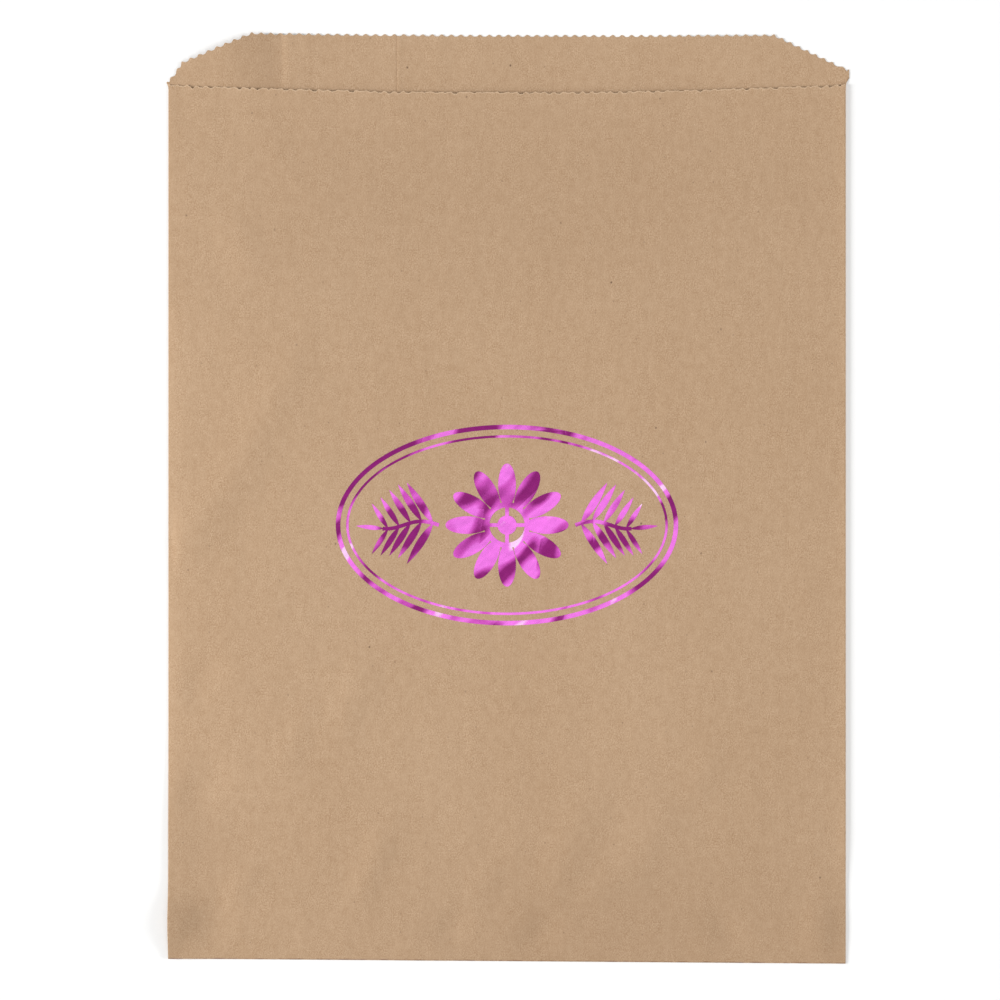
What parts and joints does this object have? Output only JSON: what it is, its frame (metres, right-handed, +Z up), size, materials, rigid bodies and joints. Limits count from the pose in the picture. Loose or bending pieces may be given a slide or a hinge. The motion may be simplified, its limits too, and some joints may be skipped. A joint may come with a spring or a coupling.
{
  "type": "merchandise bag",
  "caption": "Flat kraft paper merchandise bag with a serrated mouth and lip, a lapped back seam, a glued turned-up bottom and a stamped foil ornament on its front.",
  "frame": {"origin": "middle of the bag in plan, on the face of the back panel that it lies on", "axes": "+X across the bag, to the right as its front is seen; +Y from the bottom fold to the mouth; +Z up, out of the front panel"},
  "size_m": [0.2562, 0.3492, 0.0049],
  "materials": {
    "kraft_paper": "uncoated brown kraft paper, matt, with fine fibre streaks",
    "pink_foil": "hot-stamped metallic foil, pink to magenta"
  },
  "bodies": {
    "root": {"paper_bag": "kraft_paper", "foil_oval_outer": "pink_foil", "foil_oval_inner": "pink_foil", "foil_flower": "pink_foil", "foil_sprig_left": "pink_foil", "foil_sprig_right": "pink_foil"}
  },
  "joints": []
}
